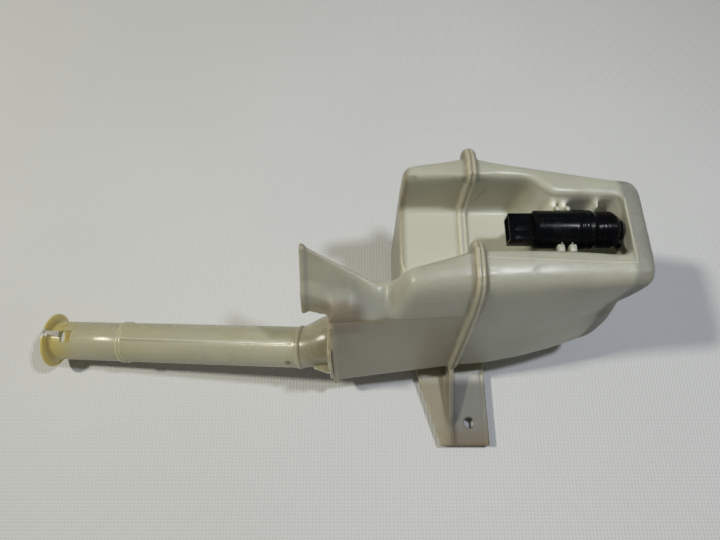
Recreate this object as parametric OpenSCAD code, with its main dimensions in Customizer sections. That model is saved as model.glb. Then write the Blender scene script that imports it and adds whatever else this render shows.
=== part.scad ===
// Washer fluid reservoir, lying on its back: two welded moulded halves, a long filler
// neck with a flared mouth, and an electric pump clipped in a pocket between two ridges.
// Lengths are in millimetres. +X runs from the filler mouth to the pump end, +Z is up.
// The origin is the centre of the bolt hole in the fixing bracket.

/* [Tank halves] */
// Wall thickness of the two moulded halves
wall = 2.5; // [2:0.1:3.2]
// Length of the neck half's back block, from the weld to its side wall
back_block_l = 54; // [46:1:60]
// Length of the neck half's front block, from the weld to the neck collar
front_block_l = 112; // [104:1:122]
// Height of the front ridge above the resting plane
front_ridge_z = 189; // [186:1:196]
// Drop of the back ridge below the front ridge
back_ridge_drop = 5; // [2:0.5:9]
// Depth of the channel floor below the front ridge
channel_depth = 57; // [53:1:62]
// Drop of the low shoulder beside the neck below the front ridge
shoulder_drop = 31; // [26:1:36]
// Width of the front ridge at the weld
front_ridge_w = 32; // [29:1:35]
// Width of the channel at the weld
channel_w = 57; // [54:1:62]
// Width of the back ridge at the weld
back_ridge_w = 22; // [18:1:26]
// How far the lower front edge stands in front of the ridge
front_lean = 32; // [26:1:38]
// Height of the lower front edge at the weld
lower_edge_z = 40; // [34:1:46]
// Setback of the flat underside behind the lower front edge
chin_setback = 35; // [28:1:42]
// Stand-off of the underside above the resting plane
standoff = 3; // [3:0.5:5]
// Radius of the stand-off pads
pad_r = 11; // [8:1:14]
// Narrowing of the pump half at the back, over its length
pump_back_draft = 21; // [14:1:26]
// Narrowing of the pump half at the lower front edge, over its length
pump_front_draft = 29; // [20:1:34]
// Narrowing of the neck half's back block, over its length
neck_back_draft = 6; // [3:1:9]
// Depth of the groove pressed into the pump half's end
end_groove = 7; // [3:0.5:9]
// Rounding of the pump half's end wall
end_round = 10; // [8:0.5:13]

/* [Weld flange] */
// Height of the weld flange above the walls
flange_h = 3; // [2:0.5:3]
// Thickness of the weld flange on each half
flange_t = 3.5; // [2.5:0.5:5]
// Radius of the alignment nubs on the flange
lug_r = 7; // [5:0.5:8]
// Reach of the nubs to each side of the weld
lug_l = 6.5; // [4:0.5:8]

/* [Bolt bracket] */
// Reach of the bracket in front of the lower front edge
bracket_reach = 70; // [60:1:80]
// Width of the bolt plate on the pump half
bolt_plate_w = 37; // [32:1:44]
// Thickness of the bracket plates
bracket_t = 4; // [3:0.5:5]
// Height of the plates' upper face above the resting plane
bracket_z = 12; // [10:0.5:15]
// Distance of the bolt hole from the weld
bolt_x = 18.5; // [15:0.5:22]
// Distance of the bolt hole from the foot edge
bolt_y = 21; // [16:0.5:26]
// Radius of the bolt hole
bolt_r = 5; // [3.5:0.25:6]
// Thickness of the upright rib on each half
rib_t = 2; // [1.5:0.25:3]

/* [Wing bracket] */
// Distance of the wing's end rim from the weld
wing_end_x = 130; // [126:1:138]
// Thickness of the wing's web
wing_t = 3; // [2.5:0.25:4]
// Thickness of the wing's end rim
wing_rim = 4; // [3:0.5:5]

/* [Filler neck] */
// Outer radius of the neck at its base
neck_r_base = 18.9; // [18.6:0.1:20]
// Outer radius of the neck at the mouth joint
neck_r_tip = 18.7; // [18.5:0.1:19]
// Inner radius of the neck
neck_bore_r = 16.4; // [15.8:0.1:16.6]
// Length of the neck from its collar to the mouth joint
neck_l = 203; // [180:1:230]
// Length of the flared base behind the collar
flare_l = 28; // [22:1:34]
// Thickness of the collar plate
collar_t = 3; // [2.5:0.25:4]
// Height of the neck's axis above the resting plane
neck_z = 64; // [60:1:70]
// Distance of the neck's axis behind the lower front edge at the weld
neck_setback = 13; // [11:0.5:16]
// Slant of the neck away from the weld's normal, in degrees
neck_slant = 3.4; // [0:0.2:4.4]
// Length of the neck's plug inside the tank wall
plug_l = 9; // [7:0.5:12]
// Shift of the plug behind the neck's axis
plug_shift = 7; // [6.5:0.25:7.5]

/* [Filler mouth] */
// Outer radius of the mouth sleeve
mouth_r = 18.5; // [18:0.1:18.6]
// Bore radius of the mouth sleeve
mouth_bore_r = 16; // [15.2:0.1:16.2]
// Length of the mouth piece from the joint to its lip
mouth_l = 74.5; // [60:0.5:90]
// Radius of the mouth lip
lip_r = 26; // [23:0.1:28]
// Thickness of the mouth lip
lip_t = 2.6; // [2:0.1:3.5]
// Side of the square window behind the lip
window_w = 10.6; // [8:0.2:13]
// Distance of that window from the lip
window_in = 17; // [12:0.5:22]

/* [Pump pocket] */
// Length of the pocket, from the weld to its end wall
pocket_l = 114; // [100:0.5:130]
// Length of the tank beyond the pocket's end wall
pocket_end_l = 20; // [18:0.5:28]
// Step of the pocket's back wall into the channel
pocket_step = 15; // [12:0.5:18]
// Distance of that step from the weld
pocket_step_x = 45; // [40:1:50]
// Depth of the pump's axis below the front ridge
pump_depth = 17; // [16:0.5:20]
// Distance of the pump's axis behind the channel's front wall
pump_setback = 18.5; // [16:0.5:21]
// Thickness of the clip forks that hold the motor
fork_t = 4.5; // [3:0.5:6]

/* [Pump] */
// Outer radius of the motor housing
motor_r = 15; // [14.5:0.1:16]
// Wall of the motor housing
motor_wall = 1.6; // [1.3:0.1:2]
// Length of the motor housing
motor_l = 38; // [36:0.5:42]
// Outer radius of the pump head
head_r = 13.5; // [13:0.1:14.5]
// Length of the pump head outside the housing
head_l = 31; // [29:0.5:33]
// Radius of the impeller chamber
chamber_r = 10.6; // [10:0.1:11.4]
// Outer radius of the outlet nipple
nipple_r = 2.7; // [2.3:0.1:3.2]
// Bore radius of the outlet nipple
nipple_bore_r = 1.6; // [1.2:0.1:1.9]
// Distance of the nipple's tip from the pump's axis
nipple_reach = 22.5; // [20:0.5:25]
// Rise of the nipple above level, in degrees
nipple_tilt = 33; // [30:1:45]
// Outer radius of the inlet spigot
spigot_r = 3.6; // [3.2:0.1:3.9]
// Bore radius of the inlet spigot
spigot_bore_r = 2.3; // [1.8:0.1:2.6]
// Length of the connector shroud in front of the motor
shroud_l = 18; // [15:0.5:22]
// Width of the connector shroud
shroud_w = 22; // [19:0.5:24]
// Height of the connector shroud
shroud_h = 13; // [11:0.5:15]
// Wall of the connector shroud
shroud_wall = 1.6; // [1.2:0.1:2]

/* [Pump rotor] */
// Radius of the motor shaft
shaft_r = 1.5; // [1.2:0.05:1.8]
// Running clearance round the shaft
run_gap = 0.05; // [0.02:0.01:0.1]
// Radius of the armature core
armature_r = 9.2; // [8.6:0.1:9.4]
// Number of armature poles
pole_count = 5; // [3:2:7]
// Radius of the commutator
commutator_r = 3.6; // [3:0.1:4.4]
// Radius over the impeller vanes
impeller_r = 9.6; // [8.6:0.1:9.8]
// Number of impeller vanes
vane_count = 6; // [4:1:8]

/* [Hidden] */
$fn = 64;
fit_gap = 0.1;
cut_over = 1;
arc_n = 4;
milky = [0.86, 0.86, 0.78];
yellowed = [0.83, 0.80, 0.55];
black = [0.07, 0.07, 0.08];
rubber = [0.10, 0.10, 0.10];

pump_half_l = pocket_l + pocket_end_l;
// Heights above the resting plane
back_ridge_z = front_ridge_z - back_ridge_drop;
channel_z = front_ridge_z - channel_depth;
shoulder_z = front_ridge_z - shoulder_drop;
pump_z = front_ridge_z - pump_depth;
pump_height = pump_z - channel_z;
// Places across the tank, from the foot edge of the bracket
low_y = bracket_reach;
base_y = low_y + chin_setback;
ridge_y = low_y + front_lean;
channel_y = ridge_y + front_ridge_w;
channel_back_y = channel_y + channel_w;
back_y = channel_back_y + back_ridge_w;
block_y = ridge_y + 16;
// Distance of the nubs from the edges they stand on
lug_stand = 2;
// How far the front ridge thins towards the pocket's end
pocket_spread = 10;
// The crease under the front ridge
crease_y = ridge_y - 10;
crease_z = front_ridge_z - 29;
// Change of the pump half's section from the weld to its end
crease_in = 5;
crease_fall = 8;
edge_rise = 22;
base_drift = 8;
ridge_drift = 4;
ridge_fall = 5;
back_fall = 3;
// Heights of the end groove and the lobe below it over the lower edge, at the weld and at the end
groove_rise = [35, 82];
lobe_rise = [18, 54];
// The back wall leans out from its foot
back_lean = 5;
// Change of the front block's section from the weld to the neck collar
base_draw = 26;
collar_low_z = 20;
ridge_draw = 9;
crease_draw = 8;
crease_drop = 10;
edge_draw = 13;
edge_drop = 9;
// The step from the front ridge down to the shoulder
step_x = back_block_l - 4;
step_l = 15;
// Corner cuts of the sections, in the order of their points
pump_corners = [16, 12, 10, 15, 10, 8, 7, 9];
back_corners = [12, 12, 10, 4, 4, 4];
front_corners = [14, 8, 8, 15, 10, 8];
channel_corners = [3, 3, 3, 6, 6, 5, 5, 3];
// Reach of the collar plate about the neck's axis
collar_front = 25;
collar_back = 35;
collar_below = 31;
collar_above = 42;
collar_lean = 7;
collar_round = 8;
// The neck's flare: its widening, its rise at the collar, and its slices
flare_spread = 3.5;
flare_rise = 3;
flare_n = 8;
flare_slice = 0.4;
// Neck and pump axes
neck_y = low_y + neck_setback;
pump_y = channel_y + pump_setback;
collar_x = -front_block_l - collar_t;
plug_r = neck_bore_r + 2.6;
// The neck dips until its upright lip rests beside the tank
lip_gap = 0.3;
lip_reach = neck_l + mouth_l;
neck_dip = asin((neck_z - lip_r - lip_gap) / lip_reach);
plug_y = neck_y + plug_shift;
seal_t = 1.6;
// Places along the pump's axis, from the weld
wall_gap = 1.5;
draft = 1.5;
floor_round = 5;
draft_h = back_ridge_z - 7 - channel_z - floor_round;
end_wall_x = pocket_l + draft * (pump_height - floor_round) / draft_h;
head_end = end_wall_x - wall_gap;
head_x = head_end - head_l;
motor_x = head_x - motor_l;
dome_l = 4;
chamber_l = 10;
chamber_end = head_end - dome_l - 1;
chamber_x = chamber_end - chamber_l;
motor_bore_r = motor_r - motor_wall;
head_bore_r = chamber_r + 1.4;
plate_t = 5;
plate_x = chamber_x - plate_t;
spigot_in = 7;
can_r = motor_bore_r - fit_gap;
can_wall = 0.8;
can_end = head_x - spigot_in;
holder_x = motor_x + motor_wall + fit_gap;
holder_t = 3;
comm_x = holder_x + holder_t + 0.5;
comm_l = 5.5;
core_x = comm_x + comm_l + 3.2;
core_l = can_end - 5.5 - core_x;
coil_l = 2.6;
magnet_r = can_r - can_wall - fit_gap;
bush_r = 3.4;
brush_l = 4;
brush_w = 3.5;
inlet_hole_r = spigot_r + 1.8;
nipple_root = head_r + 1.2;

function mix(a, b, t) = a + (b - a) * t;
function ease(t) = let(u = min(max(t, 0), 1)) u * u * (3 - 2 * u);

// A point at most c along the way from p to q, and never past its middle
function toward(p, q, c) = let(l = norm(q - p)) p + (q - p) * min(c, 0.45 * l) / l;
function corner_arc(a, p, b, c) =
  let(s = toward(p, a, c), e = toward(p, b, c))
  [for (i = [0:arc_n]) let(t = i / arc_n) (1 - t) * (1 - t) * s + 2 * t * (1 - t) * p + t * t * e];
function rounded(pts, cuts) =
  let(n = len(pts))
  [for (i = [0:n - 1]) each corner_arc(pts[(i + n - 1) % n], pts[i], pts[(i + 1) % n], cuts[i])];
function at_x(x, pts) = [for (p = pts) [x, p[0], p[1]]];
function at_z(z, pts) = [for (p = pts) [p[0], p[1], z]];

// A closed skin over rings of equal length, given in rising order
module skin(rings) {
  n = len(rings[0]);
  last = (len(rings) - 1) * n;
  sides = [for (j = [0:len(rings) - 2], i = [0:n - 1])
    let(a = j * n + i, b = j * n + (i + 1) % n) each [[a, a + n, b + n], [a, b + n, b]]];
  low_cap = [for (i = [0:n - 1]) i];
  high_cap = [for (i = [n - 1:-1:0]) last + i];
  polyhedron([for (r = rings) each r], concat([low_cap, high_cap], sides), convexity = 10);
}

// A flat plate drawn in Y and Z, standing at x and t thick along +X
module upright(x, t) {
  translate([x, 0, 0]) rotate([90, 0, 90]) linear_extrude(t) children();
}

// A turned body about the X axis, drawn as radius and place along X
module turned_x() {
  rotate([0, 90, 0]) rotate_extrude() children();
}

module tube_x(x0, x1, r_out, r_in) {
  translate([x0, 0, 0]) rotate([0, 90, 0]) difference() {
    cylinder(h = x1 - x0, r = r_out);
    translate([0, 0, -cut_over]) cylinder(h = x1 - x0 + 2 * cut_over, r = r_in);
  }
}

module rod_x(x0, x1, r) {
  translate([x0, 0, 0]) rotate([0, 90, 0]) cylinder(h = x1 - x0, r = r);
}

module on_pump_axis() {
  translate([0, pump_y, pump_z]) children();
}

// Along the neck: +X runs out from the collar
module on_neck_axis() {
  translate([collar_x, neck_y, neck_z]) rotate([0, 0, 180 - neck_slant]) rotate([0, neck_dip, 0])
    children();
}

// At the middle of the mouth's lip, which stands upright at the end of the dipping neck
module at_lip() {
  on_neck_axis() translate([lip_reach, 0, 0]) rotate([0, -neck_dip, 0]) children();
}

// All places are set from the weld, the foot edge and the resting plane, then moved
// so that the origin is the middle of the bolt hole
module placed() {
  translate([-bolt_x, -bolt_y, bracket_t / 2 - bracket_z]) children();
}

// Section of the pump half at x, with every wall drawn in by d
function pump_ring(x, d) =
  let(
    s = x / pump_half_l,
    s_low = pow(max(s, 0), 1.8),
    crease = [mix(crease_y, ridge_y + crease_in, s), crease_z - crease_fall * s],
    edge = [low_y + pump_front_draft * s_low, lower_edge_z + edge_rise * s_low],
    slope = (crease[0] - edge[0]) / (crease[1] - edge[1]),
    groove_z = lower_edge_z + mix(groove_rise[0], groove_rise[1], s),
    lobe_z = lower_edge_z + mix(lobe_rise[0], lobe_rise[1], s),
    top_back = [back_y - pump_back_draft * s, back_ridge_z - back_fall * s],
    top_front = [ridge_y + ridge_drift * s, front_ridge_z - ridge_fall * s])
  rounded([
    [base_y + base_drift * s + d, standoff + d],
    [top_back[0] - back_lean - d, standoff + d],
    [top_back[0] - d, top_back[1] - d],
    [top_front[0] + d, top_front[1] - d],
    [crease[0] + d, crease[1]],
    [edge[0] + slope * (groove_z - edge[1]) + end_groove * s * s + d, groove_z],
    [edge[0] + slope * (lobe_z - edge[1]) + d, lobe_z],
    [edge[0] + d, edge[1] + d / 2]],
    pump_corners);

module pump_block(d) {
  l = pump_half_l - d;
  r = end_round - d;
  start = d > 0 ? -cut_over : 0;
  run = [for (t = [0:0.25:1]) [mix(start, l - r, t), 0]];
  turn = [for (i = [1:4]) let(a = 90 * i / 4) [l - r + r * sin(a), r * (1 - cos(a))]];
  skin([for (st = concat(run, turn)) at_x(st[0], pump_ring(st[0], d + st[1]))]);
}

// Section of the neck half's back block at x
function back_ring(x, d) =
  let(v = -x / back_block_l, top = mix(back_ridge_z, back_ridge_z - 2, v))
  rounded([
    [ridge_y + d, standoff + d],
    [back_y - back_lean - 4 * v - d, standoff + d],
    [mix(back_y, back_y - neck_back_draft, v) - d, top - d],
    [channel_back_y - 5, top - d],
    [channel_y - 2, channel_z + 8 - d],
    [ridge_y + d, channel_z - 4 - d]],
    back_corners);

module back_block(d) {
  l = back_block_l - d;
  r = 7 - d;
  finish = d > 0 ? cut_over : 0;
  turn = [for (i = [4:-1:1]) let(a = 90 * i / 4) [-l + r - r * sin(a), r * (1 - cos(a))]];
  run = [for (t = [0:0.5:1]) [mix(-l + r, finish, t), 0]];
  skin([for (st = concat(turn, run)) at_x(st[0], back_ring(st[0], d + st[1]))]);
}

// Section of the neck half's front block at x: its ridge steps down to a low shoulder
function front_ring(x, d) =
  let(
    u = -x / front_block_l,
    top = mix(front_ridge_z - back_fall * u, shoulder_z, ease((d - x - step_x) / step_l)),
    back = mix(block_y + 22, block_y, min(1, -x / step_x)),
    low = mix(standoff, collar_low_z, ease(u)))
  rounded([
    [base_y - base_draw * u + d, low + d],
    [back - 4 - d, low + d],
    [back - d, top - d],
    [ridge_y - ridge_draw * u + d, top - d],
    [crease_y - crease_draw * u + d, min(crease_z - crease_drop * u, top - 6)],
    [low_y - edge_draw * u + d, lower_edge_z - edge_drop * u + d / 2]],
    front_corners);

module front_block(d) {
  l = front_block_l - d;
  finish = d > 0 ? cut_over : 0;
  foot = d - step_x - step_l;
  step = [for (t = [0, 0.27, 0.5, 0.73, 1]) foot + step_l * t];
  stops = concat([-l, (foot - l) / 2], step, [-step_x / 2, finish]);
  skin([for (x = stops) at_x(x, front_ring(x, d))]);
}

// Plan of the channel and pump pocket, let out by d
function channel_plan(d) =
  let(jog = 0.41 * d)
  rounded([
    [-back_block_l - 26 - d, block_y + 4 - d],
    [-back_block_l + 4, block_y + 2 - d],
    [0, channel_y - d],
    [pocket_l + d, channel_y - pocket_spread - d],
    [pocket_l + d, channel_back_y - pocket_step + d],
    [pocket_step_x + pocket_step + jog, channel_back_y - pocket_step + d],
    [pocket_step_x + jog, channel_back_y + d],
    [-back_block_l - 26 - d, channel_back_y + d]],
    channel_corners);

// The open channel: rounded at its floor, slightly drafted, flared at the ridge tops
module channel_void(d) {
  floor_z = channel_z - d;
  r = floor_round;
  stops = [[floor_z, d - r], [floor_z + 0.3 * r, d - 0.32 * r], [floor_z + r, d],
    [back_ridge_z - 7, d + draft], [back_ridge_z - 2, d + draft + 1], [back_ridge_z + 2, d + draft + 4],
    [front_ridge_z + 30, d + draft + 4]];
  skin([for (st = stops) at_z(st[0], channel_plan(st[1]))]);
}

// A slab of a half's outline, let out by the flange height, next to the weld
module weld_flange(side) {
  intersection() {
    difference() {
      if (side > 0)
        skin([for (x = [0, flange_t]) at_x(x, pump_ring(x, -flange_h))]);
      else
        union() {
          skin([for (x = [-flange_t, 0]) at_x(x, back_ring(x, -flange_h))]);
          skin([for (x = [-flange_t, 0]) at_x(x, front_ring(x, -flange_h))]);
        }
      channel_void(-flange_h);
    }
    translate([side > 0 ? 0 : -flange_t, 0, 0]) cube([flange_t, 2 * back_y, 2 * front_ridge_z]);
  }
  alignment_nub(side, back_y + lug_stand, back_ridge_z - lug_r);
  alignment_nub(side, channel_y - lug_stand, front_ridge_z - lug_r);
}

// Half of a rounded nub on the weld, with its root towards the wall in front of it
module alignment_nub(side, y, z) {
  intersection() {
    hull() for (root = [0, 1.5 * lug_r])
      translate([0, y - root, z]) scale([lug_l, lug_r, lug_r]) sphere(r = 1, $fn = 20);
    translate([side > 0 ? 0 : -2 * lug_l, 0, 0]) cube([2 * lug_l, 2 * back_y, 2 * front_ridge_z]);
  }
}

module pad(x, y) {
  translate([x, y, 0]) cylinder(h = standoff + wall, r = pad_r);
}

// Place of the sloping face under the lower front edge, at height z on the weld
function chin_y(z) = mix(low_y, base_y, (lower_edge_z - z) / (lower_edge_z - standoff));

// Upright rib of the bolt bracket, standing on the weld line and let into the wall
module bracket_rib(x) {
  root_z = bracket_z - bracket_t;
  upright(x, rib_t) polygon([
    [0, root_z], [chin_y(root_z) + wall, root_z], [low_y + wall, lower_edge_z + 1],
    [bolt_y + 5, bracket_z + 10], [bolt_y - 3, bracket_z + 3], [0, bracket_z + 2]]);
}

// The foot edge is turned down to the resting plane
module foot_lip(x0, x1) {
  translate([x0, 0, 0]) cube([x1 - x0, bracket_t * 0.8, bracket_z]);
}

// Plate with the bolt hole, let into the wall at its root
module bolt_plate() {
  root_y = chin_y(bracket_z - bracket_t / 2) + wall;
  root_slant = base_drift * bolt_plate_w / pump_half_l;
  difference() {
    union() {
      translate([0, 0, bracket_z - bracket_t]) linear_extrude(bracket_t)
        polygon([[0, 0], [bolt_plate_w, 0], [bolt_plate_w - 1, root_y + root_slant], [0, root_y]]);
      translate([bolt_plate_w - 3, 0, bracket_z - bracket_t]) cube([2, low_y, bracket_t + 1.5]);
      foot_lip(0, bolt_plate_w);
      bracket_rib(0);
    }
    translate([bolt_x, bolt_y, 0]) cylinder(h = 4 * bracket_z, r = bolt_r);
  }
}

// Slanted plate of the neck half beside the rib
module side_plate() {
  foot_w = bolt_plate_w / 4;
  spread = 0.32;
  translate([0, 0, bracket_z - bracket_t]) linear_extrude(bracket_t)
    polygon([[0, 0], [0, base_y], [-foot_w - spread * base_y, base_y], [-foot_w, 0]]);
  foot_lip(-foot_w, 0);
  bracket_rib(-rib_t);
}

// Fold lines of the wing bracket, from its root (t = 0) to its end (t = 1)
function wing_line(t) =
  let(k = pow(t, 1.15))
  [[mix(block_y - 4, block_y + 18, k), mix(shoulder_z + 3, shoulder_z + 19, k)],
   [mix(block_y - 13, block_y - 2, k), mix(shoulder_z + 1, shoulder_z + 2, k)],
   [mix(ridge_y - 14, ridge_y + 5, k), mix(shoulder_z - 3, shoulder_z - 2, k)],
   [mix(ridge_y - 18, ridge_y - 4, k), mix(shoulder_z - 10, shoulder_z - 16, k)]];

// A folded strip of the wing between two places along it and two fold lines
module wing_strip(t0, t1, i) {
  root_x = -front_block_l * 0.67;
  hull() for (t = [t0, t1], k = [i, i + 1])
    translate([mix(root_x, -wing_end_x, t), wing_line(t)[k][0], wing_line(t)[k][1] - wing_t / 2])
      sphere(d = wing_t, $fn = 10);
}

// The thicker rim at the wing's end, along one fold
module wing_rim_strip(i) {
  hull() for (k = [i, i + 1])
    translate([-wing_end_x - wing_rim, wing_line(1)[k][0], wing_line(1)[k][1] - wing_t / 2])
      rotate([0, 90, 0]) cylinder(h = wing_rim, d = wing_t + 4, $fn = 16);
}

module wing_bracket() {
  for (i = [0:2], t = [0:0.25:0.75]) wing_strip(t, t + 0.25, i);
  for (i = [0:2]) wing_rim_strip(i);
}

// Flange round the front block's end, up to the wing
module end_flange() {
  intersection() {
    skin([for (x = [-front_block_l, -front_block_l + flange_t]) at_x(x, front_ring(x, -flange_h))]);
    translate([-front_block_l, 0, 0]) cube([flange_t, 2 * back_y, shoulder_z - 12]);
  }
}

module neck_half() {
  color(milky) difference() {
    union() {
      difference() {
        union() {
          front_block(0);
          back_block(0);
        }
        channel_void(0);
      }
      weld_flange(-1);
      end_flange();
      side_plate();
      wing_bracket();
      pad(-back_block_l * 0.6, back_y - 35);
      pad(-back_block_l * 0.6, base_y + 18);
    }
    difference() {
      union() {
        front_block(wall);
        back_block(wall);
      }
      channel_void(wall);
    }
    translate([-front_block_l - cut_over, plug_y, neck_z]) rotate([0, 90, 0])
      cylinder(h = 4 * wall, r = plug_r + seal_t + fit_gap);
  }
}

// Fork that clips round the motor, standing on the channel floor
module motor_fork(x) {
  outer_r = motor_r + 3.6;
  lip = 9;
  upright(x, fork_t) difference() {
    union() {
      translate([pump_y, pump_z]) circle(r = outer_r);
      translate([pump_y - outer_r, channel_z - wall / 2]) square([2 * outer_r, pump_height]);
      translate([pump_y + outer_r - 3, channel_z - wall / 2])
        square([channel_back_y - pocket_step - pump_y - outer_r + 4, pump_height + 4]);
    }
    translate([pump_y, pump_z]) circle(r = motor_r + fit_gap);
    translate([pump_y - 2 * outer_r, pump_z + lip]) square([4 * outer_r, outer_r]);
  }
}

// Fin between the pocket's back wall and its floor
module pocket_fin(x) {
  wall_y = channel_back_y - pocket_step;
  upright(x, fork_t * 0.5) polygon([[wall_y + 2, channel_z - 1], [wall_y + 2, pump_z + 8],
    [wall_y - 6, pump_z + 5], [wall_y - 9, channel_z - 1]]);
}

// The moulded shell of the pump half, without its bolt plate
module pump_shell() {
  difference() {
    union() {
      difference() {
        pump_block(0);
        channel_void(0);
      }
      weld_flange(1);
      motor_fork(motor_x + 18);
      motor_fork(motor_x + 26);
      pocket_fin(head_x + 14);
      pad(pump_half_l * 0.24, base_y + 22);
      pad(pump_half_l * 0.68, back_y - 42);
    }
    difference() {
      pump_block(wall);
      channel_void(wall);
    }
    on_pump_axis() rod_x(end_wall_x - 3, end_wall_x + wall + 3, inlet_hole_r);
  }
}

// The shell is held to its length from the weld to the end wall, and carries the bolt plate
module pump_half() {
  color(milky) union() {
    resize([pump_half_l, 0, 0]) pump_shell();
    bolt_plate();
  }
}

// A thin round section of the flare, d inside its surface: t = 0 at the collar, 1 at the neck
module flare_disc(t, d) {
  k = 1 - ease(t);
  on_neck_axis() translate([flare_l * t, 0, 0]) rotate([0, -neck_dip * (1 - t), 0])
    rotate([0, 0, neck_slant * (1 - t)]) translate([0, -plug_shift * k, flare_rise * k])
      rod_x(-flare_slice / 2, flare_slice / 2, neck_r_base + flare_spread * k - d, $fn = 40);
}

// The flared base of the neck, drawn in by d
module neck_flare(d) {
  for (i = [0:flare_n - 1]) hull() {
    flare_disc(i / flare_n, d);
    flare_disc((i + 1) / flare_n, d);
  }
}

// Web between the flare and the front edge of the collar
module flare_web() {
  front = neck_y - collar_front;
  translate([0, 0, neck_z - collar_t / 2]) linear_extrude(collar_t)
    polygon([[collar_x + collar_t / 2, front + 2], [collar_x + collar_t / 2, neck_y],
      [collar_x - flare_l * 0.7, neck_y], [collar_x - flare_l * 0.5, neck_y - neck_r_base],
      [collar_x - 2, front + 2]]);
}

// Outline of the collar plate that closes the front block
module collar_outline() {
  low = neck_z - collar_below;
  high = neck_z + collar_above;
  front = neck_y - collar_front;
  back = neck_y + collar_back;
  offset(r = collar_round) offset(delta = -collar_round)
    polygon([[front, low], [back, low], [back, high], [front + collar_lean, high]]);
}

module filler_neck() {
  bead_r = neck_r_base + 1.1;
  end_bead_r = neck_r_tip + 0.9;
  color(milky) difference() {
    union() {
      upright(collar_x, collar_t) collar_outline();
      translate([collar_x, plug_y, neck_z]) rod_x(0, collar_t + plug_l, plug_r);
      neck_flare(0);
      flare_web();
      on_neck_axis() turned_x() polygon([[0, flare_l - 3], [bead_r, flare_l - 3], [bead_r, flare_l],
        [neck_r_base, flare_l + 1.5], [neck_r_tip, neck_l - 7], [end_bead_r, neck_l - 5.5],
        [end_bead_r, neck_l - 4], [neck_r_tip + 0.3, neck_l - 3.2], [end_bead_r, neck_l - 2.4],
        [end_bead_r, neck_l], [0, neck_l]]);
    }
    neck_flare(wall);
    on_neck_axis() rod_x(flare_l - 1, neck_l + cut_over, neck_bore_r);
    translate([collar_x, plug_y, neck_z])
      rod_x(-flare_slice, collar_t + plug_l + cut_over, plug_r - wall);
  }
}

// Rubber ring between the neck's plug and the tank wall
module neck_seal() {
  seat = -front_block_l;
  bore = plug_r + fit_gap / 2;
  color(rubber) translate([0, plug_y, neck_z]) turned_x() polygon([
    [bore, seat], [plug_r + seal_t, seat], [plug_r + seal_t, seat + wall],
    [plug_r + seal_t + 0.9, seat + wall + 0.6], [plug_r + seal_t + 0.9, seat + wall + 2],
    [bore, seat + wall + 3.5]]);
}

// Mouth sleeve with a flared upright lip, plugged into the end of the neck
module filler_mouth() {
  plug = neck_bore_r - fit_gap / 2;
  plug_wall = 1.6;
  plug_in = 14;
  face = lip_t / 2;
  flare_back = 9;
  root_l = 3;
  notch_w = 3;
  notch_tip = 1.2;
  color(yellowed) difference() {
    union() {
      on_neck_axis() turned_x() polygon([
        [plug - plug_wall, neck_l - plug_in], [plug, neck_l - plug_in], [plug, neck_l], [mouth_r, neck_l],
        [mouth_r, lip_reach + 2 * lip_t], [mouth_bore_r - 1, lip_reach + 2 * lip_t],
        [mouth_bore_r - 1, neck_l + 1], [plug - plug_wall, neck_l - 2]]);
      at_lip() turned_x() polygon([
        [mouth_bore_r, -flare_back], [mouth_r - 1.3, -flare_back], [mouth_r + 0.7, -6],
        [mouth_r + 2.2, -face - 1.4], [mouth_r + 4.4, -face], [lip_r - 1, -face], [lip_r, 0.8 - face],
        [lip_r, face - 0.8], [lip_r - 1, face], [mouth_bore_r, face]]);
    }
    on_neck_axis() {
      rod_x(neck_l + root_l, lip_reach + 4 * lip_t, mouth_bore_r);
      translate([lip_reach - window_in - window_w, -window_w / 2, 0])
        cube([window_w, window_w, 2 * mouth_r]);
    }
    at_lip() {
      rod_x(face, face + 4 * lip_t, lip_r + cut_over);
      translate([-flare_back, 0, mouth_r + notch_w]) linear_extrude(lip_r)
        polygon([[0, -notch_w], [3 * lip_t, -notch_tip], [5 * lip_t, -notch_tip], [5 * lip_t, notch_tip],
          [3 * lip_t, notch_tip], [0, notch_w]]);
    }
  }
}

// Black housing of the motor, with the connector shroud at its end
module motor_housing() {
  shroud_z = -6;
  shroud_x = motor_x - shroud_l;
  inner_w = shroud_w - 2 * shroud_wall;
  inner_h = shroud_h - 2 * shroud_wall;
  ledge_h = 1.2;
  color(black) on_pump_axis() difference() {
    union() {
      turned_x() polygon([
        [0, motor_x], [motor_r - 2.5, motor_x], [motor_r, motor_x + 2.5], [motor_r, head_x - 7],
        [motor_r + 0.7, head_x - 6], [motor_r + 0.7, head_x - 3.6], [motor_r, head_x - 3],
        [motor_r, head_x - 2.4], [motor_r + 0.7, head_x - 1.8], [motor_r + 0.7, head_x], [0, head_x]]);
      translate([shroud_x, -shroud_w / 2, shroud_z]) cube([shroud_l + 10, shroud_w, shroud_h]);
      translate([shroud_x + 4, -shroud_w / 5, shroud_z + shroud_h])
        cube([shroud_l + 4, shroud_w / 3, ledge_h]);
      translate([shroud_x + 4, -shroud_w / 2 + 1, shroud_z + shroud_h])
        cube([shroud_l + 4, shroud_w / 8, ledge_h * 0.6]);
    }
    rod_x(motor_x + motor_wall, head_x + cut_over, motor_bore_r);
    translate([shroud_x - cut_over, -inner_w / 2, shroud_z + shroud_wall])
      cube([shroud_l - 2 + cut_over, inner_w, inner_h]);
    for (side = [-1, 1]) terminal_blade(side, fit_gap / 2);
  }
}

// One connector blade, let out by d
module terminal_blade(side, d) {
  w = 2.8;
  t = 0.8;
  tip = motor_x - shroud_l + 8;
  translate([tip - d, side * shroud_w / 5 - w / 2 - d, -t / 2 - d])
    cube([holder_x - tip + d, w + 2 * d, t + 2 * d]);
}

module terminal_pins() {
  color([0.75, 0.72, 0.62]) on_pump_axis() for (side = [-1, 1]) terminal_blade(side, 0);
}

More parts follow.
